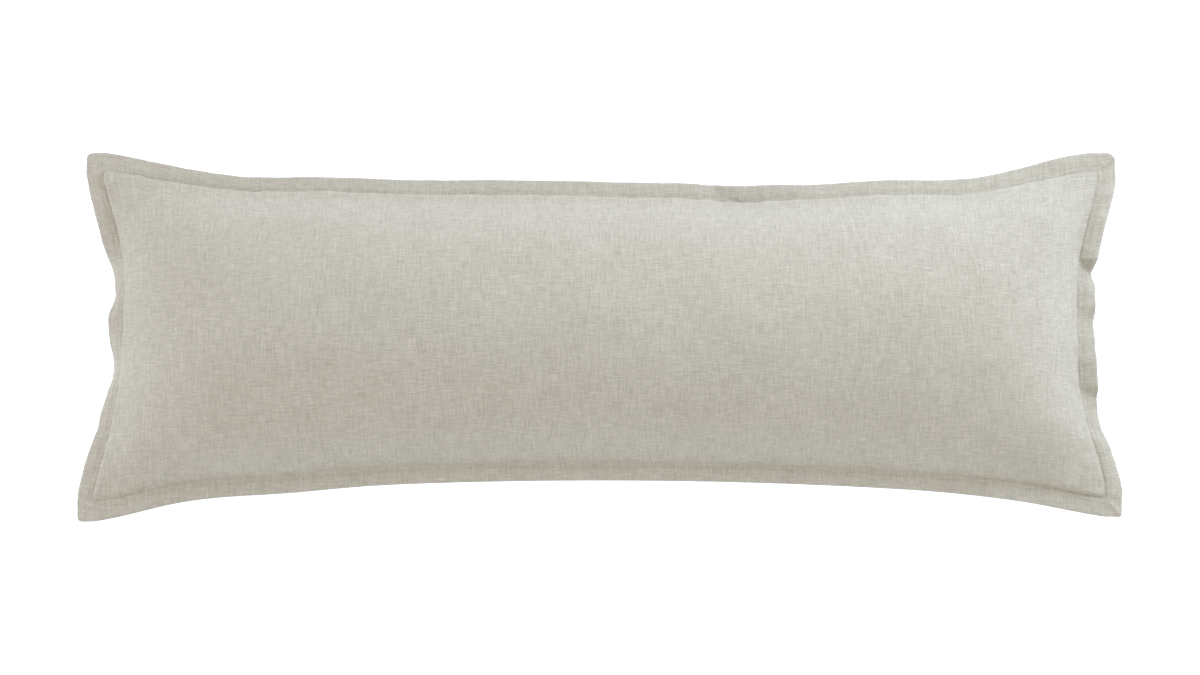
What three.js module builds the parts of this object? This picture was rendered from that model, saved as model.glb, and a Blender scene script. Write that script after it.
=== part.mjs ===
// A long lumbar pillow: two linen panels sewn together inside a narrow flange, filled firmly,
// and lying on its back with its face up.
// Millimetres. +X runs along the pillow, +Y points to the long side that is its top in use,
// and +Z points up out of its face. The origin is on the surface it lies on, under its middle.
import * as THREE from "three";

// The cover, sewn and turned, before it is filled: 40 by 14 inches as sold, 16 mm of its length
// taken up by washing and sewing, with a half inch flange outside its stitches
const coverLength = 1000;
const coverWidth = 356;
const flangeWidth = 12.7;
const slack = 5.5; // from the stitches in to the crease where the filling begins
const flangeThickness = 2.4;

// The filled form
const fullCrown = 85; // of the face over its creases, at mid-length
const fullAngle = THREE.MathUtils.degToRad(67); // between the creases' plane and the cloth leaving it
const fillingOut = 106; // the length of cloth from an end crease in which the pillow fills out
const endSquareness = 2.2; // how much fuller than an arc the section grows by an end crease
const cornerFlare = 85; // the length from a corner in which a long side first draws in
const flareDrawIn = 13; // how much it draws in there
const slowDrawIn = 21.5; // and how much more by its middle
const planBow = 4; // how far the middle lies towards +Y of a line between the ends
const seamHeight = 60; // of the long creases at mid-length, above the surface
const cornerDroop = 14; // how much lower the corners hang
const restingBlend = 11; // the height over which the underside rounds into its flat

// The margin outside the crease: the slack and the flange
const marginWidth = slack + flangeWidth;

// The radius of each of the flange's corners, and on which sides it lies
const corners = [
  { sideX: -1, sideY: 1, radius: 5.5 },
  { sideX: 1, sideY: 1, radius: 9 },
  { sideX: -1, sideY: -1, radius: 6 },
  { sideX: 1, sideY: -1, radius: 5 },
];

// The grid of cloth: cells along and across the panel, and where the margin's cells end
const cellsAlong = 54;
const cellsAcross = 28;
const endCrowding = 0.55; // 0 spaces the cells evenly, 1 crowds them into the ends
const sideCrowding = 0.25;
const marginSteps = [slack, 9.5, 14, marginWidth];
const sweepSteps = 12; // into which the way out over the margin is divided to follow its turns

// How the margin lies along each side. A row is a place in mm from the side's own middle, towards +Y
// on an end and +X on a long side. There the margin turns down by so many degrees (up if negative).
// Rows a few mm apart make a fold, and its line leans: it moves along the side by so much for each
// mm out. Where the filling reaches into the slack, the cloth beside the crease turns down further by
// so many degrees.
const marginTurns = {
  left: [
    { at: -160, down: 20, lean: 0, further: 0 },
    { at: -118, down: 22, lean: 0, further: 0 },
    { at: -82, down: 34, lean: 0, further: 0 },
    { at: -32, down: 62, lean: 0, further: 0 },
    { at: 16, down: 27, lean: 0, further: 0 },
    { at: 40, down: 55, lean: 0, further: 0 },
    { at: 58, down: 51, lean: 0, further: 0 },
    { at: 100, down: 10, lean: 0, further: 0 },
    { at: 160, down: 10, lean: 0, further: 0 },
  ],
  right: [
    { at: -160, down: 12, lean: 0, further: 0 },
    { at: -112, down: 28, lean: 0, further: 0 },
    { at: -84, down: 38, lean: 0, further: 0 },
    { at: -53, down: 24, lean: -0.5, further: 0 },
    { at: -49, down: -9, lean: -0.5, further: 0 },
    { at: -30, down: -10, lean: 0, further: 0 },
    { at: -10, down: 14, lean: 0, further: 0 },
    { at: 12, down: 22, lean: 0, further: 0 },
    { at: 29, down: -5, lean: 0, further: 0 },
    { at: 42, down: 8, lean: 0, further: 0 },
    { at: 66, down: 40, lean: -0.75, further: 0 },
    { at: 71, down: 42, lean: -0.75, further: 0 },
    { at: 74, down: -26, lean: -0.75, further: 0 },
    { at: 100, down: -14, lean: 0, further: 0 },
    { at: 160, down: 0, lean: 0, further: 0 },
  ],
  top: [
    { at: -480, down: 8, lean: 0, further: 0 },
    { at: -330, down: 8, lean: 0, further: 0 },
    { at: -60, down: 6, lean: 0, further: 0 },
    { at: 60, down: 5, lean: 0, further: 0 },
    { at: 133, down: 12, lean: -2.2, further: 0 },
    { at: 138, down: -25, lean: -2.2, further: 0 },
    { at: 162, down: -10, lean: 0, further: 0 },
    { at: 205, down: 8, lean: 0, further: 0 },
    { at: 395, down: 12, lean: 0, further: 0 },
    { at: 448, down: -6, lean: 0, further: 0 },
    { at: 480, down: -4, lean: 0, further: 0 },
  ],
  bottom: [
    { at: -480, down: 6, lean: 0, further: 0 },
    { at: -400, down: 5, lean: 0, further: 28 },
    { at: -300, down: 4, lean: 0, further: 48 },
    { at: 300, down: 4, lean: 0, further: 48 },
    { at: 400, down: 6, lean: 0, further: 18 },
    { at: 440, down: 10, lean: 0, further: 0 },
    { at: 480, down: 8, lean: 0, further: 0 },
  ],
};
const furtherReach = 6; // how far outside the crease the filling reaches into the slack

// Where the outline leaves its even curves: a shift moves the crease outwards by so many mm (in if
// negative) round a place on its side, given as a row's above is, and as far as its reach.
const creaseShifts = [
  { side: "top", at: -480, reach: 22, out: 2 },
  { side: "top", at: -415, reach: 30, out: -1 },
  { side: "top", at: -340, reach: 55, out: -2.8 },
  { side: "top", at: -270, reach: 60, out: 2 },
  { side: "top", at: -70, reach: 130, out: 4.2 },
  { side: "top", at: -40, reach: 330, out: -2 },
  { side: "top", at: 133, reach: 30, out: -2.5 },
  { side: "top", at: 200, reach: 60, out: -3.5 },
  { side: "top", at: 350, reach: 60, out: -5 },
  { side: "top", at: 470, reach: 30, out: 1.5 },
  { side: "bottom", at: -420, reach: 60, out: -2 },
  { side: "bottom", at: -300, reach: 60, out: 3 },
  { side: "bottom", at: 0, reach: 330, out: 1.2 },
  { side: "bottom", at: 460, reach: 80, out: -5.5 },
  { side: "left", at: -165, reach: 20, out: 1.2 },
  { side: "left", at: -10, reach: 110, out: 3.3 },
  { side: "left", at: 90, reach: 90, out: -3.5 },
  { side: "left", at: 170, reach: 14, out: 2.5 },
  { side: "right", at: -115, reach: 40, out: 0.8 },
  { side: "right", at: -62, reach: 26, out: -1 },
  { side: "right", at: 5, reach: 45, out: 1.3 },
];
const shiftPower = 3; // how fast an end's shift fades towards the middle

const linenColour = new THREE.Color().setRGB(0.78, 0.765, 0.71, THREE.SRGBColorSpace);

const halfLength = coverLength / 2 - marginWidth; // of the filled panel, from its middle to a crease
const halfWidth = coverWidth / 2 - marginWidth;

// Places from -half to half, closer together towards both ends.
function crowded(cells, half, crowding) {
  return Array.from({ length: cells + 1 }, (_, i) => {
    const u = (2 * i) / cells - 1;
    return half * ((1 - crowding) * u + crowding * Math.sin((u * Math.PI) / 2));
  });
}

// Rises from 0 at a crease or corner to 1 well inside, over about the given reach.
function risen(distance, reach) {
  return 1 - Math.exp(-((distance / reach) ** 2));
}

// Half the distance between the long creases at a place along the panel.
function halfChord(along) {
  const slow = slowDrawIn * (1 - (along / halfLength) ** 2);
  return halfWidth - slow - flareDrawIn * risen(halfLength - Math.abs(along), cornerFlare);
}

// A point of the panel on its section, which is an arc at mid-length and flat at an end crease: how
// far across it stands, and how high over the creases.
function onSection(along, across) {
  const fullness = Math.sqrt(risen(halfLength - Math.abs(along), fillingOut));
  const share = across / halfWidth;
  const angle = fullAngle * fullness;
  if (angle === 0) {
    return { y: halfChord(along) * share, crown: 0 };
  }
  const squared = Math.abs(share) ** (1 + endSquareness * (1 - fullness));
  const arc = (Math.cos(angle * squared) - Math.cos(angle)) / (1 - Math.cos(angle));
  return {
    y: (halfChord(along) * Math.sin(angle * share)) / Math.sin(angle),
    crown: fullCrown * fullness * arc,
  };
}

// One lengthwise thread of the panel. It keeps its length, so what it climbs and draws in shortens
// its run along X: each step takes the run that the height and the sideways step leave over.
function lengthwiseThread(alongs, across) {
  const points = alongs.map((along) => ({ x: 0, ...onSection(along, across) }));
  const middle = Math.floor(alongs.length / 2);
  for (const way of [1, -1]) {
    for (let i = middle; alongs[i + way] !== undefined; i += way) {
      const cloth = alongs[i + way] - alongs[i];
      const climbed = points[i + way].crown - points[i].crown;
      const drawnIn = points[i + way].y - points[i].y;
      const left = Math.max(0, cloth ** 2 - climbed ** 2 - drawnIn ** 2);
      points[i + way].x = points[i].x + way * Math.sqrt(left);
    }
  }
  return points;
}

// How far a side's crease lies outside its even curve at a place along it.
function shiftOf(side, place) {
  return creaseShifts
    .filter((shift) => shift.side === side)
    .reduce((sum, { at, reach, out }) => sum + out * Math.exp(-(((place - at) / reach) ** 2)), 0);
}

// A point of the panel moved by the shifts. A long side's is shared out over the width, and an end's
// fades towards the other end.
function shifted(x, y, along, across) {
  const up = (1 + across / halfWidth) / 2;
  const on = (1 + along / halfLength) / 2;
  return [
    x + shiftOf("right", y) * on ** shiftPower - shiftOf("left", y) * (1 - on) ** shiftPower,
    y + shiftOf("top", x) * up - shiftOf("bottom", x) * (1 - up),
  ];
}

// A column of a table at a place along its side, by a smooth step between two rows.
function smoothly(rows, column, place) {
  const after = rows.findIndex(({ at }) => at > place);
  if (after === 0) {
    return rows[0][column];
  }
  const before = rows.at(after < 0 ? -1 : after - 1);
  const next = rows.at(after);
  const share = THREE.MathUtils.smoothstep(place, before.at, next.at);
  return before[column] + (next[column] - before[column]) * share;
}

// How far the margin turns down, in radians. The table is read at the place that its lean leads to,
// and what it turns further by the crease dies away outwards.
function marginTurn(side, place, out) {
  const rows = marginTurns[side];
  const leaned = place - smoothly(rows, "lean", place) * out;
  const further = smoothly(rows, "further", place) * (1 - risen(out, furtherReach));
  return THREE.MathUtils.degToRad(smoothly(rows, "down", leaned) + further);
}

// How far out and down a point of the margin lies, and its slope there. The margin turns as its table
// says all the way out, so these are the mean cosine and sine over the way, times the way.
function swept(side, place, out) {
  let reach = 0;
  let drop = 0;
  for (let step = 0; step < sweepSteps; step++) {
    const turn = marginTurn(side, place, (out * (step + 0.5)) / sweepSteps);
    reach += (out * Math.cos(turn)) / sweepSteps;
    drop += (out * Math.sin(turn)) / sweepSteps;
  }
  return { reach, drop, slope: Math.sin(marginTurn(side, place, out)) };
}

// The height of the creases' plane: level along the middle, lower towards the corners.
function seamPlane(along, across) {
  return seamHeight - cornerDroop * (along / halfLength) ** 6 * (across / halfWidth) ** 2;
}

// The underside's height, never under the surface and rounded into it.
function rested(height) {
  if (height <= -restingBlend) {
    return 0;
  }
  return height >= restingBlend ? height : (height + restingBlend) ** 2 / (4 * restingBlend);
}

// The margin's steps out from the creases, with a corner's last square rounded off.
function roundedOut(sideX, sideY, outX, outY) {
  const corner = corners.find((each) => each.sideX === sideX && each.sideY === sideY);
  if (!corner) {
    return [outX, outY];
  }
  const inner = marginWidth - corner.radius;
  const pastX = outX - inner;
  const pastY = outY - inner;
  if (pastX <= 0 || pastY <= 0) {
    return [outX, outY];
  }
  const shrink = Math.max(pastX, pastY) / Math.hypot(pastX, pastY);
  return [inner + pastX * shrink, inner + pastY * shrink];
}

// Every line of the grid across one direction: the margin's steps before the panel, the panel's own
// places, and the margin's steps after it. Each has the panel's place and index that it starts from,
// and how far it lies past the crease, negative on the low side.
function gridLines(places) {
  const last = places.length - 1;
  const panel = places.map((place, index) => ({ place, index, out: 0 }));
  const before = marginSteps.map((out) => ({ ...panel[0], out: -out })).reverse();
  const after = marginSteps.map((out) => ({ ...panel[last], out }));
  return [...before, ...panel, ...after];
}

// The face's and the underside's point where two grid lines cross. Both lie half the cloth's
// thickness from the middle of it, and the crown swells them apart inside the creases.
function crossing(threads, column, row) {
  const thread = threads[row.index][column.index];
  const [x, y] = shifted(thread.x, thread.y, column.place, row.place);
  const [outX, outY] = roundedOut(
    Math.sign(column.out),
    Math.sign(row.out),
    Math.abs(column.out),
    Math.abs(row.out),
  );
  const end = swept(column.place < 0 ? "left" : "right", y, outX);
  const side = swept(row.place < 0 ? "bottom" : "top", x, outY);
  const bow = planBow * (1 - (column.place / halfLength) ** 2);
  const middle = new THREE.Vector3(
    x + Math.sign(column.out) * end.reach,
    y + Math.sign(row.out) * side.reach + bow,
    seamPlane(column.place, row.place) - end.drop - side.drop,
  );
  const half = new THREE.Vector3(
    Math.sign(column.out) * end.slope,
    Math.sign(row.out) * side.slope,
    1,
  ).setLength(flangeThickness / 2);
  const face = middle.clone().add(half);
  face.z += thread.crown;
  const underside = middle.clone().sub(half);
  underside.z = rested(underside.z - thread.crown);
  return { face, underside };
}

// The indices of a grid's outermost points, in order round it, starting at its first.
function rimOf(width, height) {
  const last = width * height - 1;
  const bottom = Array.from({ length: width - 1 }, (_, i) => i);
  const right = Array.from({ length: height - 1 }, (_, j) => (j + 1) * width - 1);
  const top = bottom.map((i) => last - i);
  const left = right.map((i) => last - i);
  return [...bottom, ...right, ...top, ...left];
}

// Two grids of points as one closed surface: the upper one, the lower one turned over, and a strip
// round their edges that joins them.
function closedSurface(upper, lower, width, height) {
  const triangles = [];
  const quad = (a, b, c, d) => triangles.push(a, b, c, a, c, d);
  for (let j = 0; j < height - 1; j++) {
    for (let i = 0; i < width - 1; i++) {
      const over = j * width + i;
      const under = over + upper.length;
      quad(over, over + 1, over + width + 1, over + width);
      quad(under + width, under + width + 1, under + 1, under);
    }
  }
  const rim = rimOf(width, height);
  rim.forEach((near, k) => {
    const far = rim[(k + 1) % rim.length];
    quad(near + upper.length, far + upper.length, far, near);
  });
  const geometry = new THREE.BufferGeometry().setFromPoints([...upper, ...lower]);
  geometry.setIndex(triangles);
  return geometry;
}

function pillowGeometry() {
  const alongs = crowded(cellsAlong, halfLength, endCrowding);
  const acrosses = crowded(cellsAcross, halfWidth, sideCrowding);
  const threads = acrosses.map((across) => lengthwiseThread(alongs, across));
  const columns = gridLines(alongs);
  const rows = gridLines(acrosses);
  const points = rows.flatMap((row) => columns.map((column) => crossing(threads, column, row)));
  const faces = points.map(({ face }) => face);
  const undersides = points.map(({ underside }) => underside);
  const geometry = closedSurface(faces, undersides, columns.length, rows.length);
  geometry.computeBoundingBox();
  const { min, max } = geometry.boundingBox;
  geometry.translate(-(min.x + max.x) / 2, -(min.y + max.y) / 2, -min.z);
  geometry.computeVertexNormals();
  return geometry;
}

function makePillow() {
  const linen = new THREE.MeshStandardMaterial({ color: linenColour, roughness: 0.95, metalness: 0 });
  const pillow = new THREE.Mesh(pillowGeometry(), linen);
  pillow.name = "pillow";
  return pillow;
}

const lumbarPillow = new THREE.Group();
lumbarPillow.add(makePillow());

export default lumbarPillow;
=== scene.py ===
"""A long lumbar pillow in natural linen, lying on its back on a pale floor.

Two linen panels are sewn together by one row of topstitching, half an inch inside their edge. The margin
outside that row stands round the pillow as its flange. Metres: +X runs along the pillow, +Y points to
the long side that is its top in use, and +Z up out of its face. The origin is on the floor, under it.
"""

import math
from collections import namedtuple

import bpy
import numpy as np
from bpy.props import FloatProperty, FloatVectorProperty, PointerProperty
from bpy.types import Operator, Panel, PropertyGroup
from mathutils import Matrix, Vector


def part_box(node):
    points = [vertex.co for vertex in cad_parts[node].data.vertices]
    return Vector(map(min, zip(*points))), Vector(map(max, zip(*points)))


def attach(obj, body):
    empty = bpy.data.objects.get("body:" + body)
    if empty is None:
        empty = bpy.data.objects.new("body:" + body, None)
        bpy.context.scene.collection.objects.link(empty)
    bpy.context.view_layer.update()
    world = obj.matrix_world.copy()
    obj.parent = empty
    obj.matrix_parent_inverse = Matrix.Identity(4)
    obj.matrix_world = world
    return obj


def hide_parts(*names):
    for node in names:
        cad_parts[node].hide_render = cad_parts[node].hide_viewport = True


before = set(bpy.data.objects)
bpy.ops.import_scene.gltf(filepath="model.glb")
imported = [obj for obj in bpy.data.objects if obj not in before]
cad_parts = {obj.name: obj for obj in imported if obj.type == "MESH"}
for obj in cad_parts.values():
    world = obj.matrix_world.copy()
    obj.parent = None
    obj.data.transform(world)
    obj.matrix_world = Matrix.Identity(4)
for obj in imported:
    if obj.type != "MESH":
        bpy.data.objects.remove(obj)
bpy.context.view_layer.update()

bl_info = {
    "name": "Lumbar pillow",
    "version": (1, 0, 0),
    "blender": (4, 5, 0),
    "location": "View3D > Sidebar > Pillow",
    "description": "Sews, fills and lights a flanged lumbar pillow in linen",
    "category": "Object",
}

MM = 0.001
TINY = 1e-12  # stands for a length of nothing, to divide by

# The filled form
FULL_ANGLE = math.radians(67)  # between the creases' plane and the cloth leaving it, at mid-length
FILLING_OUT = 106 * MM  # the length of cloth from an end in which the pillow fills out
END_SQUARENESS = 2.2  # how much fuller than an arc the section grows by an end
CORNER_FLARE = 85 * MM  # the length from a corner in which a long side first draws in
FLARE_DRAW_IN = 13 * MM  # how much it draws in there
SLOW_DRAW_IN = 21.5 * MM  # and how much more by its middle
PLAN_BOW = 4 * MM  # how far the middle lies towards +Y of a line between the ends
CREASE_HEIGHT = 60 * MM  # of the long creases at mid-length, above the floor
CORNER_DROOP = 14 * MM  # how much lower the corners hang
DROOP_POWER = 6  # how late they begin to, along the pillow
FLATTEST_ANGLE = 1e-5  # radians, at the ends, where the section is flat
RESTING_BLEND = 11 * MM  # the height over which the underside rounds into its flat
WALL_REACH = 5 * MM  # how far inside its crease the cloth overhangs it most
WALL_CLIMB = 1.7  # how far the cloth stands up there for each mm that it overhangs

# The cloth across the margin: two panels lie together in the slack, and with their turned-in edges they
# are four layers in the flange
SLACK_PUFF = 1.0 * MM  # half the thickness between the crease and the stitches
PINCHED = 0.4 * MM  # half the thickness in the crease
STITCHED = 0.82 * MM  # half the thickness under the stitches
PINCH_REACH = 1.3 * MM  # how far outside the stitches the flange takes to reach its full thickness

# How the margin lies along each side. A row is a place in mm from the side's own middle, towards +Y on an
# end and +X on a long side. There the margin turns down by so many degrees, or up if negative, and the
# filled cloth overhangs the crease by so many mm. Rows a few mm apart make a fold, and its line leans: it
# moves along the side by so much for each mm out. Where the filling reaches into the slack, the cloth
# beside the crease turns down further by so many degrees, and where the slack stands up, by less.
Turn = namedtuple("Turn", "at down over lean further", defaults=[0, 0])
MARGINS = {
    "left": (
        Turn(-160, 20, 2),
        Turn(-118, 22, 1.5),
        Turn(-82, 34, 1.5),
        Turn(-32, 62, 0.3),
        Turn(16, 27, 1.2),
        Turn(40, 55, 0.4),
        Turn(58, 51, 0.3),
        Turn(100, 10, 0.6),
        Turn(160, 10, 3),
    ),
    "right": (
        Turn(-160, 20, 1.4, 0, -32),
        Turn(-112, 35, 1.2, 0, -40),
        Turn(-84, 40, 1),
        Turn(-53, 24, 1.2, -0.5),
        Turn(-49, -9, 1.4, -0.5),
        Turn(-30, -10, 1.2),
        Turn(-10, 14, 1.5),
        Turn(12, 22, 1),
        Turn(29, -5, 0.5),
        Turn(42, 8, 1),
        Turn(66, 40, 0.8, -0.75),
        Turn(71, 42, 0.8, -0.75),
        Turn(74, -26, 0.8, -0.75),
        Turn(100, -14, 1),
        Turn(160, 0, 1.4),
    ),
    "top": (
        Turn(-480, 8, 2),
        Turn(-330, 8, 3.6),
        Turn(-60, 6, 3.2),
        Turn(60, 5, 3.2),
        Turn(133, 12, 2.2, -2.2),
        Turn(138, -25, 2.2, -2.2),
        Turn(162, -10, 2.8),
        Turn(205, 8, 3.2),
        Turn(395, 12, 2.4),
        Turn(448, -6, 1.4),
        Turn(480, -4, 1.2),
    ),
    "bottom": (
        Turn(-480, 6, 0.8),
        Turn(-400, 5, 0.3, 0, 28),
        Turn(-300, 4, 0, 0, 48),
        Turn(300, 4, 0, 0, 48),
        Turn(400, 6, 0.8, 0, 18),
        Turn(440, 10, 1.6),
        Turn(480, 8, 2),
    ),
}
FURTHER_REACH = 6 * MM  # how far outside the crease the further turn fades
SHARP_ROWS = 8  # two rows that lie closer than so many mm make a fold

# Where the outline leaves its even curves: a shift moves the crease outwards by so many mm, or in if
# negative, round a place on its side that is given as a row's above is, and as far as its reach.
Shift = namedtuple("Shift", "at reach out")
SHIFTS = {
    "top": (
        Shift(-480, 22, 2),
        Shift(-415, 30, -1),
        Shift(-340, 55, -2.8),
        Shift(-270, 60, 2),
        Shift(-70, 130, 4.2),
        Shift(-40, 330, -2),
        Shift(133, 30, -2.5),
        Shift(200, 60, -3.5),
        Shift(350, 60, -5),
        Shift(470, 30, 1.5),
    ),
    "bottom": (
        Shift(-420, 60, -2),
        Shift(-300, 60, 3),
        Shift(0, 330, 1.2),
        Shift(460, 80, -5.5),
    ),
    "left": (
        Shift(-165, 20, 1.2),
        Shift(-10, 110, 3.3),
        Shift(90, 90, -3.5),
        Shift(170, 14, 2.5),
    ),
    "right": (
        Shift(-115, 40, 0.8),
        Shift(-62, 26, -1),
        Shift(5, 45, 1.3),
    ),
}
SHIFT_POWER = 3  # how fast an end's shift fades towards the middle

# The flange's corners: each one's two signs and radius, and the ridge that the turned cloth makes across
# the margin there. It starts so far out along X from the crease's corner, and goes on along X by its slope
# times its way along Y, and has a height and a half width. In mm.
Corner = namedtuple("Corner", "side_x side_y radius start slope height width")
CORNERS = (
    Corner(-1, 1, 5.5, 8, -0.5, 3.6, 2.6),
    Corner(1, 1, 9, 0, 1.3, 2.2, 3.2),
    Corner(-1, -1, 6, 0, 1, 1.3, 3.5),
    Corner(1, -1, 5, 0, 0.9, 2.4, 2.8),
)

# Dents in the face's filling, or swellings where the depth is negative: their middles, their reaches along
# and across their own length, which is turned by so many degrees from +X, and their depth, in mm
Dent = namedtuple("Dent", "x y long short turn depth")
DENTS = (
    Dent(440, -118, 34, 22, 35, 2.5),
    Dent(472, -146, 7, 4, 20, 0.9),
    Dent(-452, 158, 9, 3, -12, 0.8),
    Dent(-447, 152, 12, 4, -14, -0.7),
)

# Small unevenness of the cloth: its height, and its shortest and longest waves
Unevenness = namedtuple("Unevenness", "height shortest longest")
EDGE_WAVES = Unevenness(0.35 * MM, 34 * MM, 110 * MM)
MARGIN_PUCKERS = Unevenness(0.35 * MM, 10 * MM, 30 * MM)
MARGIN_PUCKER_REACH = 7 * MM  # how far outside the crease they are highest
CREASE_PUCKERS = Unevenness(0.35 * MM, 15 * MM, 60 * MM)
PUCKER_REACH = 7 * MM  # how far inside the crease the puckers are highest
FILLING_LUMPS = Unevenness(0.8 * MM, 70 * MM, 260 * MM)
LUMP_REACH = 60 * MM  # how far inside the crease the lumps reach their full height

SWEEP_STEPS = 20  # into which the way out over the margin is divided to follow its turns

# Fine grid of the finished cover, and coarse grid of the cloth that is settled
SPACING_SAMPLES = 8001  # places at which the wanted spacing is worked out
PANEL_SPACING = 3.6 * MM  # at its widest
CREASE_SPACING = 0.6 * MM
FOLD_SPACING = 1.3 * MM
SPACING_GROWTH = 0.15  # for each mm away from a crease or a fold, in mm
SLACK_LINES = 6
FLANGE_LINES = 10
SETTLED_ALONG = 120  # cells
SETTLED_ACROSS = 44
SETTLED_CROWDING = 0.4  # how much closer the cells lie by the creases
SETTLED_FRAMES = 12
MOST_SETTLING = 5 * MM  # what moves further is held to this
RESTING_HEIGHT = 0.01 * MM  # what lies lower rests on the floor

# Seeds and counts of the waves that make the cloth uneven
LINE_WAVES = 9
LENGTH_SPREAD = 0.1  # by which a line's waves differ from even steps of length
PLANE_WAVES = 14
WAVE_POWER = 1.4  # how the margin's waves grow outwards
END_SEED = 11
SIDE_SEED = 31
FACE_SEED = 71
UNDERSIDE_SEED = 91

# Each stitch's rings, the corners of a ring, and how thin its tips are
STITCH_RINGS = 6
STITCH_SIDES = 6
STITCH_TIP = 0.35

# The sewing thread
PLIES = 3
PLY_TWIST = 1.4 * MM  # the length in which the plies wind round the thread once
PLY_SHADE_ROUNDNESS = 0.8  # of a ply's height: below it, painted shade darkens the tone towards the gap
PLY_GAP_SHADE = 0.75  # share of the tone that is left under the painted shade between two plies
PLY_DEPTH = 1 / 6  # of the thread's thickness
PLY_BUMP = 0.5  # strength of the bump
THREAD_MOTTLE = 4 * MM
THREAD_TONES = (0.2, 0.7)  # of the darkest and the lightest thread
THREAD_DARK = 0.72  # of the thread's colour
THREAD_LIGHT = 1.2

# The weave: tones run from about 0.2 to 0.8, before slubs
THREADS_APART = 7.31
WARP_START = 3.1  # where in the noise the warp's tones begin
WEFT_START = 8.7
TONE_DETAIL = 3  # of the noise, in octaves
WARP_SLUBS = 1.3  # how much longer a slub lasts along the warp
SLUB_START = 40  # how much further on in the noise its slubs begin
SLUB_NOISE = (0.68, 0.8)  # where a slub begins and where it is full
SLUB_TONE = 0.12  # how much paler a slub is
CROSSING_EDGE = 0.3  # how softly one thread gives way to the other, of the wave's height
DARK_TONE = 0.18
LIGHT_TONE = 0.82
GAP_SHADE_ROUNDNESS = 0.7  # of a thread's height: below it, painted shade darkens the tone towards the gap
WEAVE_GAP_SHADE = 0.7  # share of the tone that is left under the painted shade in the gap between four threads
MOTTLE_LENGTH = 60 * MM
MOTTLE_DETAIL = 2
MOTTLE_TONE = 0.06
TONE_HEIGHT = 0.6  # how much higher a pale thread stands
WEAVE_BUMP = 0.6  # strength of the bump

# Floor, lights and camera
FLOOR_COLOUR = (0.62, 0.62, 0.62, 1)
GLOW_COLOUR = (0.77, 0.865, 1.0, 1)
SURROUND_COLOUR = (1.0, 0.913, 0.815, 1)
LIGHT_SIZE = 1.8  # metres along each side
KEY_COLOUR = (0.735, 0.84, 1.0)
KEY_PLACE = (0.95, 0.7, 0.9)
FILL_COLOUR = (0.81, 0.86, 1.0)
FILL_PLACE = (-2.6, 0, 1.5)
TILT = math.radians(7.6)  # of the camera, from straight down
AIM_ACROSS = -4 * MM  # where the camera's line crosses the creases' plane, from the pillow's middle


def setting(name, description, default, **kind):
    """A number that can be changed in the sidebar."""
    return FloatProperty(name=name, description=description, default=default, **kind)


def measure(name, description, default):
    """A length."""
    return setting(name, description, default, unit="LENGTH")


def tint(name, description, default):
    """A colour."""
    kind = {"subtype": "COLOR", "size": 3, "min": 0, "max": 1}
    return FloatVectorProperty(name=name, description=description, default=default, **kind)


class CoverSettings(PropertyGroup):
    """The sewn cover before and after it is filled."""

    length: measure("Length", "Sewn and turned, edge to edge, before it is filled", 1.0)
    width: measure("Width", "Sewn and turned, edge to edge, before it is filled", 0.356)
    flange_width: measure("Flange width", "From the topstitching out to the edge", 12.7 * MM)
    slack: measure("Slack", "From the topstitching in to the crease where the filling begins", 5.5 * MM)
    flange_thickness: measure("Flange thickness", "Both panels with their turned-in margins", 2.4 * MM)
    crown: measure("Crown", "Height of the filled face over its creases, at mid-length", 85 * MM)


class StitchSettings(PropertyGroup):
    """The row of topstitching at the flange's root."""

    stitch: measure("Stitch", "Length of thread that shows in each stitch", 2.7 * MM)
    gap: measure("Gap", "Between one stitch and the next", 0.5 * MM)
    thickness: measure("Thickness", "Of the sewing thread", 0.4 * MM)
    arch: measure("Arch", "How far a stitch's middle stands higher than its ends", 0.3 * MM)
    colour: tint("Colour", "Of the sewing thread", (0.56, 0.53, 0.45))


class LinenSettings(PropertyGroup):
    """The cloth's colours and weave."""

    light: tint("Light yarn", "Colour of the palest threads", (0.73, 0.71, 0.623))
    dark: tint("Dark yarn", "Colour of the darkest threads", (0.385, 0.366, 0.30))
    pitch: measure("Thread pitch", "From the middle of one thread to the next", 0.72 * MM)
    slub: measure("Slub length", "Along a thread, over which its tone and thickness change", 12 * MM)
    relief: measure("Relief", "Height of the threads in the weave's bump", 0.16 * MM)
    roughness: setting("Roughness", "Of the yarn", 0.92, subtype="FACTOR", min=0, max=1)
    sheen: setting("Sheen", "Fuzz that catches light from the side", 0.15, subtype="FACTOR", min=0, max=1)


class StageSettings(PropertyGroup):
    """Floor, lights and camera."""

    lens: setting("Lens", "Focal length of the camera", 81.8, subtype="DISTANCE_CAMERA")
    distance: measure("Distance", "From the camera to the pillow's middle", 2.6)
    tilt: setting("Tilt", "How far the view leans towards -Y from straight down", TILT, unit="ROTATION")
    key: setting("Key light", "Power of the near soft light from the top right", 19.2, unit="POWER")
    fill: setting("Fill light", "Power of the far soft light from the left", 29.5, unit="POWER")
    surround: setting("Surround", "Strength of the even light from all round", 0.605)
    floor_glow: setting("Floor glow", "Strength of the light that the table gives", 1.05)
    floor_size: measure("Floor size", "Side of the square floor", 16)


def risen(distance, reach):
    """Rises from 0 at a crease or corner to 1 well inside: one less the bell curve of distance over reach."""
    return 1 - np.exp(-((distance / reach) ** 2))


def humped(distance, reach):
    """Rises in a line from 0, is 1 at the reach, and dies away by an exponential."""
    share = distance / reach
    return share * np.exp(1 - share)


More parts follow.
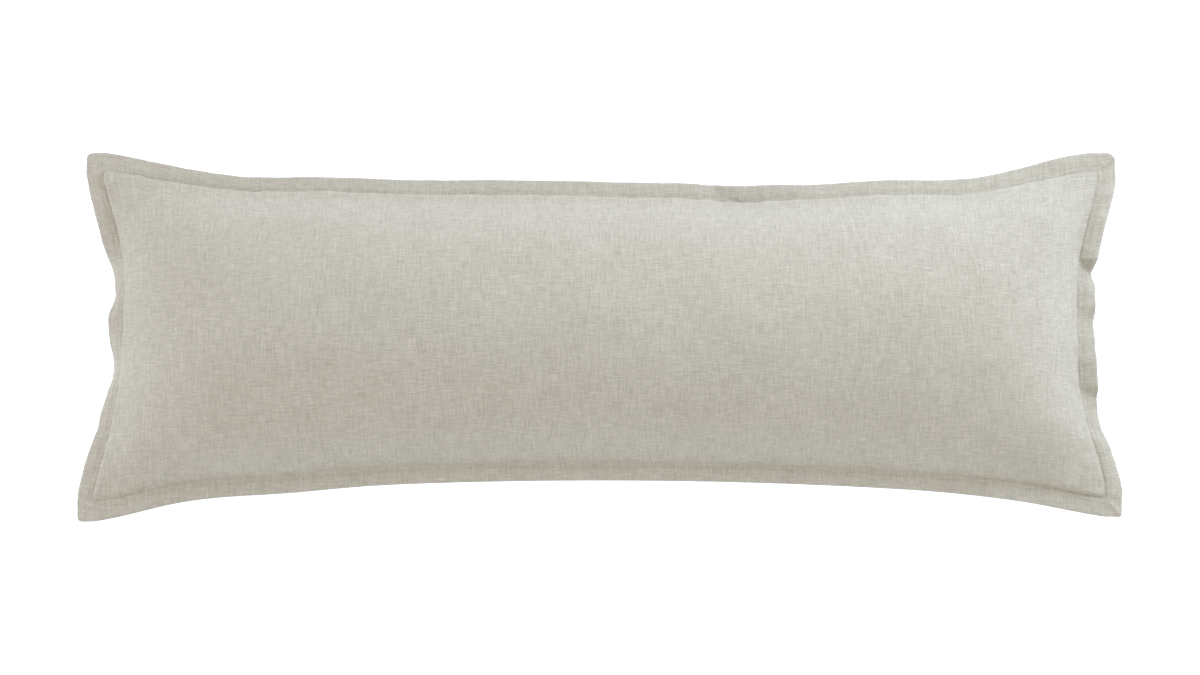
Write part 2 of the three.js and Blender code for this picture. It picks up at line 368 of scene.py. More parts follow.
def uneven(place, waves, seed):
    """A wandering line: sines whose lengths and phases are drawn from a seed, added and evened out."""
    draw = np.random.default_rng(seed)
    spread = draw.uniform(1 - LENGTH_SPREAD, 1 + LENGTH_SPREAD, LINE_WAVES)
    lengths = np.geomspace(waves.shortest, waves.longest, LINE_WAVES) * spread
    phases = draw.uniform(0, 2 * math.pi, LINE_WAVES)
    sines = np.sin(np.multiply.outer(place, 2 * math.pi / lengths) + phases)
    return waves.height * sines.sum(-1) / math.sqrt(LINE_WAVES / 2)


def lumpy(x, y, waves, seed):
    """A wandering surface: plane waves whose directions and phases are drawn from a seed."""
    draw = np.random.default_rng(seed)
    lengths = np.geomspace(waves.shortest, waves.longest, PLANE_WAVES)
    turns = draw.uniform(0, math.pi, PLANE_WAVES)
    phases = draw.uniform(0, 2 * math.pi, PLANE_WAVES)
    total = np.zeros(x.shape)
    for length, turn, phase in zip(lengths, turns, phases):
        total += np.sin(2 * math.pi * (x * math.cos(turn) + y * math.sin(turn)) / length + phase)
    return waves.height * total / math.sqrt(PLANE_WAVES / 2)


def stacked(*parts):
    """Grids or numbers as one grid of points, or of places on a map."""
    return np.stack(np.broadcast_arrays(*parts), axis=-1)


def unit(vectors):
    """The same directions at length 1."""
    return vectors / np.maximum(np.linalg.norm(vectors, axis=-1, keepdims=True), TINY)


class Lines:
    """Grid lines across one direction of the cover: each has the panel's place that it starts from and how
    far it lies out past the crease there, negative on the low side."""

    def __init__(self, place, out):
        self.place = place
        self.out = out

    @classmethod
    def fine(cls, half, cover, folds):
        """Close together at the creases and the folds, where the cloth turns, and the margin's lines outside
        them. The lines' number grows by the wanted closeness, so it is added up and shared out evenly."""
        place = np.linspace(-half, half, SPACING_SAMPLES)
        spacing = np.minimum(PANEL_SPACING, CREASE_SPACING + SPACING_GROWTH * (half - np.abs(place)))
        for fold in folds:
            spacing = np.minimum(spacing, FOLD_SPACING + SPACING_GROWTH * np.abs(place - fold))
        steps = np.concatenate([[0], np.cumsum(np.diff(place) / spacing[1:])])
        inner = np.interp(np.linspace(0, steps[-1], math.ceil(steps[-1]) + 1), steps, place)
        slack = cover.slack * cosine_steps(SLACK_LINES)
        flange = cover.slack + cover.flange_width * cosine_steps(FLANGE_LINES)
        beyond = np.concatenate([slack, flange])
        ends = np.full(len(beyond), half)
        return cls(
            np.concatenate([-ends, inner, ends]),
            np.concatenate([-beyond[::-1], np.zeros(len(inner)), beyond]),
        )

    @classmethod
    def coarse(cls, half, cells):
        """Evenly spaced but for a smooth crowding into both creases."""
        return cls(half * crowded(np.linspace(-1, 1, cells + 1)), np.zeros(cells + 1))

    def line_at(self, out):
        """The line that lies so far out past the crease, on the side that the sign says."""
        return int(np.argmin(np.abs(self.out - out)))


def cosine_steps(count):
    """Shares from 0, left out, to 1, close together at both ends as a cosine is."""
    return (1 - np.cos(np.linspace(0, math.pi, count + 1)[1:])) / 2


def crowded(share):
    """From -1 to 1, a straight line blended with a quarter sine, which crowds its values into both ends."""
    return (1 - SETTLED_CROWDING) * share + SETTLED_CROWDING * np.sin(share * math.pi / 2)


class Grid:
    """The cover's lines both ways, columns across it and rows along it. What belongs to a column is kept as
    a row of numbers and what belongs to a row as a column, so that together they give one for each point."""

    def __init__(self, columns, rows):
        self.columns = columns
        self.rows = rows
        self.along = columns.place[None, :]
        self.across = rows.place[:, None]
        self.side_x = np.sign(self.along)
        self.side_y = np.sign(self.across)
        self.out_x = np.abs(columns.out)[None, :]
        self.out_y = np.abs(rows.out)[:, None]

    def by(self, corner):
        """Which points lie in a corner's quarter of the cover."""
        return (self.side_x == corner.side_x) & (self.side_y == corner.side_y)


class Cover:
    """The cover's measures, and the shape that its cloth takes when it is filled."""

    def __init__(self, settings):
        self.flange_width = settings.flange_width
        self.slack = settings.slack
        self.margin = settings.flange_width + settings.slack
        self.half_thickness = settings.flange_thickness / 2
        self.crown = settings.crown
        self.half_length = settings.length / 2 - self.margin
        self.half_width = settings.width / 2 - self.margin

    def half_chord(self, along):
        """Half the distance between the long creases: the panel's half width, less a slow parabola and
        less a quick bell curve at each corner."""
        slow = SLOW_DRAW_IN * (1 - (along / self.half_length) ** 2)
        quick = FLARE_DRAW_IN * risen(self.half_length - np.abs(along), CORNER_FLARE)
        return self.half_width - slow - quick

    def section(self, along, across):
        """How far across a point of the panel stands, and how high over the creases. At mid-length it is on
        an arc, by the arc's sine and cosine. Towards an end the arc flattens and squares off."""
        fullness = np.sqrt(risen(self.half_length - np.abs(along), FILLING_OUT))
        angle = np.maximum(FULL_ANGLE * fullness, FLATTEST_ANGLE)
        share = across / self.half_width
        squared = np.abs(share) ** (1 + END_SQUARENESS * (1 - fullness))
        arc = (np.cos(angle * squared) - np.cos(angle)) / (1 - np.cos(angle))
        y = self.half_chord(along) * np.sin(angle * share) / np.sin(angle)
        return y, self.crown * fullness * arc

    def threads(self, along, y, crown):
        """How far along each point stands. A lengthwise thread keeps its length, so each of its steps has
        the run that its climb and its sideways step leave over, and the runs add up from the middle."""
        cloth = np.diff(along)
        left = cloth**2 - np.diff(crown) ** 2 - np.diff(y) ** 2
        runs = np.sqrt(np.maximum(0, left))
        x = np.concatenate([np.zeros((len(y), 1)), np.cumsum(runs, axis=1)], axis=1)
        after = np.searchsorted(along, 0)
        share = along[after] / (along[after] - along[after - 1])
        middle = x[:, after] * (1 - share) + x[:, after - 1] * share
        return x - middle[:, None]

    def crease_plane(self, along, across):
        """The height of the creases' plane: level in the middle, and lower by steep powers to the corners."""
        to_end = (along / self.half_length) ** DROOP_POWER
        return CREASE_HEIGHT - CORNER_DROOP * to_end * (across / self.half_width) ** 2

    def long_shift(self, x, across):
        """The long sides' shifts, shared out over the width in proportion to the distance from each."""
        share = (1 + across / self.half_width) / 2
        return shift_of("top", x) * share - shift_of("bottom", x) * (1 - share)

    def end_shift(self, along, y):
        """The ends' shifts, which fade by a power of the distance towards the other end."""
        share = (1 + along / self.half_length) / 2
        return shift_of("right", y) * share**SHIFT_POWER - shift_of("left", y) * (1 - share) ** SHIFT_POWER

    def filled(self, grid):
        """The face and the underside as grids of points. Outside the crease the margin goes straight on,
        turned down as its table says. The two lie apart by the cloth's thickness, and the crown swells them
        apart inside the crease."""
        y, crown = self.section(grid.along, grid.across)
        x = self.threads(grid.columns.place, y, crown)
        y, x = y + self.long_shift(x, grid.across), x + self.end_shift(grid.along, y)
        out_x, out_y = self.rounded(grid)
        reach_x, drop_x, slope_x = swept("left", "right", grid.side_x, y, out_x)
        reach_y, drop_y, slope_y = swept("bottom", "top", grid.side_y, x, out_y)
        bow = PLAN_BOW * (1 - (grid.along / self.half_length) ** 2)
        height = self.crease_plane(grid.along, grid.across) - drop_x - drop_y
        middle = stacked(x + grid.side_x * reach_x, y + grid.side_y * reach_y + bow, height)
        normal = unit(stacked(grid.side_x * slope_x, grid.side_y * slope_y, 1.0))
        middle = middle + self.margin_height(grid, x, y)[..., None] * normal
        half = self.half_cloth(grid)[..., None] * normal
        swell = stacked(0.0, 0.0, crown)
        return middle + half + swell, middle - half - swell

    def overhang(self, grid, points, facing):
        """How far the filling pushes the cloth sideways over its crease and up beside it: both rise in a
        line from each crease and die away by an exponential, times the table's overhang there."""
        x = points[..., 0]
        y = points[..., 1]
        free_x = risen(self.half_width - np.abs(grid.across), WALL_REACH / 2)
        free_y = risen(self.half_length - np.abs(grid.along), WALL_REACH / 2)
        right = humped(self.half_length - grid.along, WALL_REACH) * over("right", y)
        left = humped(self.half_length + grid.along, WALL_REACH) * over("left", y)
        top = humped(self.half_width - grid.across, WALL_REACH) * over("top", x)
        bottom = humped(self.half_width + grid.across, WALL_REACH) * over("bottom", x)
        climb = WALL_CLIMB * np.maximum((right + left) * free_x, (top + bottom) * free_y)
        return stacked((right - left) * free_x, (top - bottom) * free_y, facing * climb)

    def unevenness(self, grid, points, seed):
        """How far the filled cloth stands out: broad lumps of filling that rise from the crease, and small
        puckers that run in from each crease and die away by an exponential, and towards its ends."""
        x = points[..., 0]
        y = points[..., 1]
        to_end = self.half_length - np.abs(grid.along)
        to_side = self.half_width - np.abs(grid.across)
        lumps = lumpy(x, y, FILLING_LUMPS, seed) * risen(np.minimum(to_end, to_side), LUMP_REACH)
        end_puckers = humped(to_end, PUCKER_REACH) * uneven(y, CREASE_PUCKERS, seed + 1)
        side_puckers = humped(to_side, PUCKER_REACH) * uneven(x, CREASE_PUCKERS, seed + 2)
        return lumps + end_puckers * risen(to_side, PUCKER_REACH) + side_puckers * risen(to_end, PUCKER_REACH)

    def margin_height(self, grid, x, y):
        """How far the margin stands out of its own plane: waves along each side that grow outwards by a
        power, puckers that rise from the crease and die away, and at each corner a ridge that is a bell
        curve across its line."""
        total = np.zeros(x.shape)
        ends = (grid.out_x, y, grid.side_x, END_SEED)
        long_sides = (grid.out_y, x, grid.side_y, SIDE_SEED)
        for out, place, side, seed in (ends, long_sides):
            grown = (out / self.margin) ** WAVE_POWER
            near = humped(out, MARGIN_PUCKER_REACH)
            for step, (waves, profile) in enumerate(((EDGE_WAVES, grown), (MARGIN_PUCKERS, near))):
                low = uneven(place, waves, seed + 2 * step)
                high = uneven(place, waves, seed + 2 * step + 1)
                total = total + np.where(side < 0, low, high) * profile
        for corner in CORNERS:
            off = (grid.out_x - corner.start * MM - corner.slope * grid.out_y) / (corner.width * MM)
            outwards = risen(np.minimum(grid.out_x, grid.out_y), self.slack)
            ridge = corner.height * MM * np.exp(-(off**2)) * outwards
            total = total + np.where(grid.by(corner), ridge, 0)
        return total

    def rounded(self, grid):
        """The margin's steps out past both creases of a corner, its last square drawn in to a round one."""
        radius = sum(grid.by(corner) * (corner.radius * MM) for corner in CORNERS)
        inner = self.margin - radius
        past_x = grid.out_x - inner
        past_y = grid.out_y - inner
        square = (past_x > 0) & (past_y > 0)
        length = np.hypot(past_x, past_y)
        shrink = np.where(square, np.maximum(past_x, past_y) / np.maximum(length, TINY), 1)
        return (
            np.where(square, inner + past_x * shrink, grid.out_x),
            np.where(square, inner + past_y * shrink, grid.out_y),
        )

    def half_cloth(self, grid):
        """Half the cloth's thickness: pinched in the crease and less so under the stitches, puffed by half
        a sine between them, full on the flange, and at its edge a quarter circle down to nothing."""
        out = np.maximum(grid.out_x, grid.out_y)
        share = np.clip(out / self.slack, 0, 1)
        pinched = PINCHED + (STITCHED - PINCHED) * share
        puff = pinched + (SLACK_PUFF - pinched) * np.sin(math.pi * share)
        full = STITCHED + (self.half_thickness - STITCHED) * risen(out - self.slack, PINCH_REACH)
        left = np.clip((self.margin - out) / self.half_thickness, 0, 1)
        return np.where(out < self.slack, puff, full) * np.sqrt(1 - (1 - left) ** 2)


def smoothly(place, rows, column):
    """A column of a table at places along its side. Between two rows it goes over by a smooth step, three
    squares less two cubes of the share of the way."""
    at = MM * np.array([row.at for row in rows])
    values = np.array([getattr(row, column) for row in rows], dtype=float)
    index = np.interp(place, at, np.arange(len(at)))
    before = np.minimum(index.astype(int), len(at) - 2)
    share = index - before
    return values[before] + (values[before + 1] - values[before]) * share**2 * (3 - 2 * share)


def turned(side, place, out):
    """How far the margin turns down, in radians. The table is read at the place that its lean leads to, and
    what it turns further by the crease dies away outwards as a bell curve."""
    rows = MARGINS[side]
    leaned = place - smoothly(place, rows, "lean") * out
    further = smoothly(place, rows, "further") * (1 - risen(out, FURTHER_REACH))
    return np.radians(smoothly(leaned, rows, "down") + further)


def swept(low_side, high_side, sign, place, out):
    """How far out and down a point of the margin lies, and its slope there. The margin turns as its table
    says all the way out, so these are the mean cosine and sine over the way, times the way."""
    shares = (np.arange(SWEEP_STEPS) + 0.5) / SWEEP_STEPS
    place, out, sign = np.broadcast_arrays(place, out, sign)
    reach = np.zeros(place.shape)
    drop = np.zeros(place.shape)
    slope = np.zeros(place.shape)
    for side, there in ((low_side, sign < 0), (high_side, sign > 0)):
        there = there & (out > 0)
        way = out[there]
        turns = turned(side, place[there][:, None], way[:, None] * shares)
        reach[there] = way * np.cos(turns).mean(-1)
        drop[there] = way * np.sin(turns).mean(-1)
        slope[there] = np.sin(turned(side, place[there], way))
    return reach, drop, slope


def over(side, place):
    """How far the filled cloth overhangs the crease."""
    return MM * smoothly(place, MARGINS[side], "over")


def shift_of(side, place):
    """How far a side's crease lies outside its even curve: the sum of its shifts' bell curves."""
    total = np.zeros(np.shape(place))
    for shift in SHIFTS[side]:
        total = total + shift.out * MM * np.exp(-(((place / MM - shift.at) / shift.reach) ** 2))
    return total


def dented(points):
    """How far the face stands in: each dent's depth times a bell curve of its own turned lengths."""
    total = np.zeros(points.shape[:-1])
    for dent in DENTS:
        turn = math.radians(dent.turn)
        x = points[..., 0] / MM - dent.x
        y = points[..., 1] / MM - dent.y
        along = (x * math.cos(turn) + y * math.sin(turn)) / dent.long
        across = (y * math.cos(turn) - x * math.sin(turn)) / dent.short
        total += dent.depth * MM * np.exp(-(along**2) - across**2)
    return total


def rested(height):
    """Heights never under the floor and rounded into it by a parabola."""
    rounded = (height + RESTING_BLEND) ** 2 / (4 * RESTING_BLEND)
    return np.where(height <= -RESTING_BLEND, 0, np.where(height >= RESTING_BLEND, height, rounded))


def normals_of(points):
    """Unit normals of a grid of points: the cross product of its differences along and across."""
    return unit(np.cross(np.gradient(points, axis=1), np.gradient(points, axis=0)))


def folds_on(*sides):
    """The places of the folds on these sides: the middles between rows that lie close together."""
    places = []
    for side in sides:
        at = [row.at for row in MARGINS[side]]
        places += [(low + high) / 2 * MM for low, high in zip(at, at[1:]) if high - low < SHARP_ROWS]
    return places


def grid_quads(indices):
    """The four corners of each cell of a grid of vertex indices, counter-clockwise seen from above."""
    corners = [indices[:-1, :-1], indices[:-1, 1:], indices[1:, 1:], indices[1:, :-1]]
    return np.stack([corner.ravel() for corner in corners], axis=1)


def two_sided(rows, columns):
    """Vertex indices of a face grid and an underside grid that share their rim."""
    count = rows * columns
    face = np.arange(count).reshape(rows, columns)
    underside = face.copy()
    inner = (rows - 2) * (columns - 2)
    underside[1:-1, 1:-1] = count + np.arange(inner).reshape(rows - 2, columns - 2)
    return face, underside


def make_mesh(name, points, quads):
    """A mesh of four-sided faces from whole arrays."""
    mesh = bpy.data.meshes.new(name)
    mesh.vertices.add(len(points))
    mesh.vertices.foreach_set("co", points.ravel().astype(np.float32))
    mesh.loops.add(quads.size)
    mesh.loops.foreach_set("vertex_index", quads.ravel().astype(np.int32))
    mesh.polygons.add(len(quads))
    mesh.polygons.foreach_set("loop_start", np.arange(0, quads.size, 4, dtype=np.int32))
    mesh.polygons.foreach_set("use_smooth", np.ones(len(quads), dtype=bool))
    mesh.update(calc_edges=True)
    return mesh


def add_object(name, data):
    """Links a new object, at the origin, that shows a mesh or holds a light or camera."""
    piece = bpy.data.objects.new(name, data)
    bpy.context.scene.collection.objects.link(piece)
    return piece


def add_map(mesh, name, by_vertex, quads):
    """A UV map that gives each vertex two numbers of its own."""
    layer = mesh.uv_layers.new(name=name)
    layer.uv.foreach_set("vector", by_vertex[quads.ravel()].ravel().astype(np.float32))


def carried(coarse, fine):
    """Weights that carry values from coarse grid lines to fine ones, a row for each fine line: the four
    coarse lines round it, by the Catmull-Rom cubic."""
    lines = len(coarse.place)
    index = np.interp(fine.place, coarse.place, np.arange(lines))
    first = np.minimum(index.astype(int), lines - 2)
    share = index - first
    cubics = (
        -share / 2 + share**2 - share**3 / 2,
        1 - 5 * share**2 / 2 + 3 * share**3 / 2,
        share / 2 + 2 * share**2 - 3 * share**3 / 2,
        -(share**2) / 2 + share**3 / 2,
    )
    weights = np.zeros((len(index), lines))
    for step, cubic in zip((-1, 0, 1, 2), cubics):
        np.add.at(weights, (np.arange(len(index)), np.clip(first + step, 0, lines - 1)), cubic)
    return weights


def joined(face_points, underside_points):
    """The two panels as one closed mesh, joined along the middle of their common rim: its points, the vertex
    indices of both panels' grids, and its faces."""
    face, underside = two_sided(*face_points.shape[:2])
    points = np.zeros((underside.max() + 1, 3))
    points[underside] = underside_points
    points[face] = face_points
    on_rim = face == underside
    points[face[on_rim]] = (face_points[on_rim] + underside_points[on_rim]) / 2
    quads = np.concatenate([grid_quads(face), grid_quads(underside)[:, ::-1]])
    return points, face, underside, quads


def settled(cover, grid):
    """Lets Blender's cloth find its own balance between the filling's pressure and the threads of two flat
    panels, held along the crease and where they rest. Returns how far the points of both move."""
    face_points, underside_points = cover.filled(grid)
    underside_points[..., 2] = rested(underside_points[..., 2])
    points, face, underside, quads = joined(face_points, underside_points)
    piece = add_object("settling", make_mesh("settling", points, quads))
    flat = np.zeros(points.shape)
    for panel in (face, underside):
        flat[panel, 0] = grid.along
        flat[panel, 1] = grid.across
    held = points[:, 2] < RESTING_HEIGHT
    held[face[face == underside]] = True
    add_cloth(piece, flat, held)
    moves = points_after(piece, len(points)) - points
    length = np.linalg.norm(moves, axis=-1, keepdims=True)
    moves = moves * np.minimum(1, MOST_SETTLING / np.maximum(length, TINY))
    return moves[face], moves[underside]


def points_after(piece, count):
    """Runs the cloth's frames, and returns where its points lie then. The piece itself is taken away."""
    for step in range(1, SETTLED_FRAMES + 1):
        bpy.context.scene.frame_set(step)
    after = np.zeros(3 * count, dtype=np.float32)
    shape = piece.evaluated_get(bpy.context.evaluated_depsgraph_get()).data
    shape.vertices.foreach_get("co", after)
    mesh = piece.data
    bpy.data.objects.remove(piece)
    bpy.data.meshes.remove(mesh)
    bpy.context.scene.frame_set(1)
    return after.reshape(-1, 3)


def add_cloth(piece, flat, held):
    """Blender's cloth on the two panels, as light stiff linen under the filling's even pressure. Its threads
    are as long as in the flat panels, and the held points stay where they are."""
    piece.shape_key_add(name="filled")
    cut = piece.shape_key_add(name="cut")
    cut.data.foreach_set("co", flat.ravel().astype(np.float32))
    cut.value = 0
    group = piece.vertex_groups.new(name="held")
    group.add(np.flatnonzero(held).tolist(), 1.0, "REPLACE")
    modifier = piece.modifiers.new("cloth", "CLOTH")
    linen = modifier.settings
    linen.vertex_group_mass = "held"
    linen.rest_shape_key = cut
    linen.quality = 5
    linen.mass = 1e-4
    linen.tension_stiffness = 15
    linen.compression_stiffness = 5
    linen.shear_stiffness = 5
    linen.bending_stiffness = 0.01
    linen.tension_damping = 5
    linen.compression_damping = 5
    linen.shear_damping = 5
    linen.bending_damping = 0.5
    linen.air_damping = 1
    linen.use_pressure = True
    linen.uniform_pressure_force = 40
    linen.effector_weights.gravity = 0
    modifier.collision_settings.use_collision = False
    modifier.collision_settings.use_self_collision = False
    modifier.point_cache.frame_start = 1
    modifier.point_cache.frame_end = SETTLED_FRAMES


def finished_cover(cover, grid):
    """The whole cover's face and underside, finished: filled, settled, uneven, resting on the floor and
    centred on the space that the frame keeps for it."""
    face, underside = cover.filled(grid)
    face = face + cover.overhang(grid, face, 1)
    underside = underside + cover.overhang(grid, underside, -1)
    rise = cover.unevenness(grid, face, FACE_SEED) - dented(face)
    face = face + rise[..., None] * normals_of(face)
    fall = cover.unevenness(grid, underside, UNDERSIDE_SEED)
    underside = underside - fall[..., None] * normals_of(underside)
    underside[..., 2] = rested(underside[..., 2])
    columns = Lines.coarse(cover.half_length, SETTLED_ALONG)
    rows = Lines.coarse(cover.half_width, SETTLED_ACROSS)
    to_columns = carried(columns, grid.columns)
    to_rows = carried(rows, grid.rows)
    for panel, moves in zip((face, underside), settled(cover, Grid(columns, rows))):
        panel += np.einsum("ri,ijk,cj->rck", to_rows, moves, to_columns, optimize=True)
    underside[..., 2] = np.maximum(underside[..., 2], 0)
    return centred(face, underside)


def centred(face, underside):
    """Both grids, moved to the floor and the middle of the space that the frame keeps for the pillow."""
    both = np.stack([face, underside])
    low = both.min(axis=(0, 1, 2))
    high = both.max(axis=(0, 1, 2))
    frame_low, frame_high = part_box("pillow")
    middle = (np.array(frame_low) + np.array(frame_high)) / 2
    shift = middle - (low + high) / 2
    shift[2] = frame_low[2] - low[2]
    return face + shift, underside + shift


def cloth_map(mesh, grid, face, underside, quads):
    """A UV map in metres of flat cloth, so that the weave follows the threads round the pillow."""
    u = grid.columns.place + grid.columns.out
    v = grid.rows.place + grid.rows.out
    flat = stacked(u[None, :], v[:, None])
    by_vertex = np.zeros((max(face.max(), underside.max()) + 1, 2))
    by_vertex[underside] = flat
    by_vertex[face] = flat
    add_map(mesh, "cloth", by_vertex, quads)


def shader(name):
    """A new node material, its tree and its Principled BSDF."""
    material = bpy.data.materials.new(name)
    material.use_nodes = True
    tree = material.node_tree
    return material, tree, tree.nodes["Principled BSDF"]


def set_inputs(tree, node, inputs):
    """Sets a node's inputs, which are given by name or number: to a value, or by a link to an output."""
    for name, value in inputs.items():
        if isinstance(value, bpy.types.NodeSocket):
            tree.links.new(value, node.inputs[name])
        else:
            node.inputs[name].default_value = value


def add_node(tree, kind, inputs, **settings):
    """A new node of a kind, with its settings and inputs."""
    node = tree.nodes.new("ShaderNode" + kind)
    for name, value in settings.items():
        setattr(node, name, value)
    set_inputs(tree, node, inputs)
    return node


def math_node(tree, operation, *values):
    """The output of a Math node on outputs or numbers."""
    return add_node(tree, "Math", dict(enumerate(values)), operation=operation).outputs[0]


def blend_node(tree, share, first, second, data_type="FLOAT"):
    """A number or colour that goes from the first to the second as the share goes from 0 to 1."""
    inputs = {"Factor": share, "A": first, "B": second}
    return add_node(tree, "Mix", inputs, data_type=data_type).outputs["Result"]


def range_node(tree, value, low, high, out_low=0.0, out_high=1.0, interpolation="SMOOTHSTEP"):
    """Carries the range from low to high over to another one, by a smooth step or in a line."""
    inputs = {"Value": value, "From Min": low, "From Max": high, "To Min": out_low, "To Max": out_high}
    return add_node(tree, "MapRange", inputs, interpolation_type=interpolation).outputs["Result"]


def noise_node(tree, place, scale, detail):
    """Noise of two dimensions."""
    inputs = {"Vector": place, "Scale": scale, "Detail": detail}
    return add_node(tree, "TexNoise", inputs, noise_dimensions="2D").outputs["Fac"]


def bump_node(tree, height, strength, distance):
    """The normal that a height gives."""
    inputs = {"Height": height, "Strength": strength, "Distance": distance}
    return add_node(tree, "Bump", inputs).outputs["Normal"]


def map_node(tree, name):
    """A UV map of the piece, whole and as its two numbers."""
    uv = add_node(tree, "UVMap", {}, uv_map=name).outputs["UV"]
    split = add_node(tree, "SeparateXYZ", {"Vector": uv})
    return uv, split.outputs["X"], split.outputs["Y"]


def along_thread(tree, index, along, length, start, detail):
    """Noise along each thread. The threads' numbers are spread so far apart that no two are alike."""
    apart = math_node(tree, "MULTIPLY_ADD", index, THREADS_APART, start)
    place = add_node(tree, "CombineXYZ", {"X": apart, "Y": math_node(tree, "DIVIDE", along, length)})
    return noise_node(tree, place.outputs["Vector"], 1, detail)


def waves_over(tree, place):
    """A sine over the place that is zero at each whole number. Without its sign it is the height of round
    threads that lie side by side."""
    wave = math_node(tree, "SINE", math_node(tree, "MULTIPLY", place, math.pi))
    return wave, math_node(tree, "ABSOLUTE", wave)


def linen_material(settings):
    """Plain-weave linen, worked out thread by thread in metres of flat cloth. Each warp and weft thread
    changes tone along its length, with a few thick pale slubs, and they pass over and under each other.
    The gaps between them are darkened with painted shade where the round threads dip, and the same threads
    stand up in the bump."""
    material, tree, surface = shader("linen")
    uv, u, v = map_node(tree, "cloth")
    threads = []
    for across, along, start, length in (
        (u, v, WARP_START, settings.slub * WARP_SLUBS),
        (v, u, WEFT_START, settings.slub),
    ):
        place = math_node(tree, "DIVIDE", across, settings.pitch)
        index = math_node(tree, "FLOOR", place)
        tone = along_thread(tree, index, along, length, start, TONE_DETAIL)
        lumps = along_thread(tree, index, along, length / 2, start + SLUB_START, 1)
        tone = math_node(tree, "MULTIPLY_ADD", range_node(tree, lumps, *SLUB_NOISE), SLUB_TONE, tone)
        threads.append((tone, *waves_over(tree, place)))
    (warp_tone, warp_wave, warp_round), (weft_tone, weft_wave, weft_round) = threads
    crossing = math_node(tree, "MULTIPLY", warp_wave, weft_wave)
    over_under = range_node(tree, crossing, -CROSSING_EDGE, CROSSING_EDGE)
    tone = blend_node(tree, over_under, weft_tone, warp_tone)
    height = blend_node(tree, over_under, weft_round, warp_round)
    gap = math_node(tree, "MAXIMUM", warp_round, weft_round)
    mottle = math_node(tree, "SUBTRACT", noise_node(tree, uv, 1 / MOTTLE_LENGTH, MOTTLE_DETAIL), 0.5)
    tone = math_node(tree, "MULTIPLY_ADD", mottle, MOTTLE_TONE, tone)
    # Painted shade in the gaps between four threads: the tone darkens where both round threads dip low
    tone = math_node(tree, "MULTIPLY", tone, range_node(tree, gap, 0, GAP_SHADE_ROUNDNESS, WEAVE_GAP_SHADE, 1))
    share = range_node(tree, tone, DARK_TONE, LIGHT_TONE, interpolation="LINEAR")
    colour = blend_node(tree, share, (*settings.dark, 1), (*settings.light, 1), "RGBA")
    height = math_node(tree, "MULTIPLY_ADD", tone, TONE_HEIGHT, height)
    looks = {
        "Base Color": colour,
        "Normal": bump_node(tree, height, WEAVE_BUMP, settings.relief),
        "Roughness": settings.roughness,
        "Specular IOR Level": 0.2,
        "Sheen Weight": settings.sheen,
        "Sheen Roughness": 0.5,
    }
    set_inputs(tree, surface, looks)
    return material


def thread_material(settings):
    """Sewing thread: plies wind round it, with painted shade between them, and its tone changes from
    stitch to stitch. They are read from the stitches' own map, metres along a thread and turns round it."""
    material, tree, surface = shader("thread")
    _, along, turn = map_node(tree, "strand")
    wound = math_node(tree, "MULTIPLY_ADD", along, 1 / PLY_TWIST, turn)
    _, plies = waves_over(tree, math_node(tree, "MULTIPLY", wound, PLIES))
    place = add_node(tree, "TexCoord", {}).outputs["Object"]
    tone = noise_node(tree, place, 1 / THREAD_MOTTLE, 1)
    # Painted shade between the plies: the tone darkens where a ply dips towards the gap
    tone = math_node(tree, "MULTIPLY", tone, range_node(tree, plies, 0, PLY_SHADE_ROUNDNESS, PLY_GAP_SHADE, 1))
    dark = (*[channel * THREAD_DARK for channel in settings.colour], 1)
    light = (*[min(1, channel * THREAD_LIGHT) for channel in settings.colour], 1)
    looks = {
        "Base Color": blend_node(tree, range_node(tree, tone, *THREAD_TONES), dark, light, "RGBA"),
        "Normal": bump_node(tree, plies, PLY_BUMP, settings.thickness * PLY_DEPTH),
        "Roughness": 0.7,
        "Sheen Weight": 0.1,
    }
    set_inputs(tree, surface, looks)
    return material


def stitch_row(points, normals, settings):
    """One row of stitches along a path of points with the surface's normals. Each is a thin spindle, bent
    up in an arch, whose ends dip into the cloth. Returns its points and its map, stitch by stitch."""
    steps = np.linalg.norm(np.diff(points, axis=0), axis=-1)
    length = np.concatenate([[0], np.cumsum(steps)])
    count = round(length[-1] / (settings.stitch + settings.gap))
    pitch = length[-1] / count
    share = np.linspace(-1, 1, STITCH_RINGS)[None, :, None]
    turn = np.arange(STITCH_SIDES) / STITCH_SIDES
    middle = (np.arange(count) + 0.5)[:, None, None] * pitch
    at = middle + share * (pitch - settings.gap) / 2
    path = np.stack([np.interp(at, length, points[:, axis]) for axis in range(3)], axis=-1)
    up = unit(np.stack([np.interp(middle, length, normals[:, axis]) for axis in range(3)], axis=-1))
    ahead = unit(path[:, -1:] - path[:, :1])
    aside = unit(np.cross(up, ahead))
    radius = settings.thickness / 2 * (STITCH_TIP + (1 - STITCH_TIP) * np.sqrt(1 - share**2))[..., None]
    lift = settings.arch * (1 - share**2)[..., None] - settings.arch / 2
    ring_up = np.sin(2 * math.pi * turn)[None, None, :, None]
    ring_aside = np.cos(2 * math.pi * turn)[None, None, :, None]
    stitches = path + up * (lift + radius * ring_up) + aside * radius * ring_aside
    strand = stacked(at, turn)
    return stitches.reshape(-1, 3), strand.reshape(-1, 2), count


def stitch_quads(count):
    """The faces of so many stitches: bands round each from ring to ring, and two at each end that close
    it, all facing out."""
    ring = np.arange(STITCH_SIDES)
    after = (ring + 1) % STITCH_SIDES
    band = np.stack([ring, after, after + STITCH_SIDES, ring + STITCH_SIDES], axis=1)
    bands = [band + step * STITCH_SIDES for step in range(STITCH_RINGS - 1)]
    near = np.array([[3, 2, 1, 0], [5, 4, 3, 0]])
    far = near[:, ::-1] + (STITCH_RINGS - 1) * STITCH_SIDES
    one = np.concatenate([*bands, near, far])
    return (one[None] + np.arange(count)[:, None, None] * STITCH_RINGS * STITCH_SIDES).reshape(-1, 4)


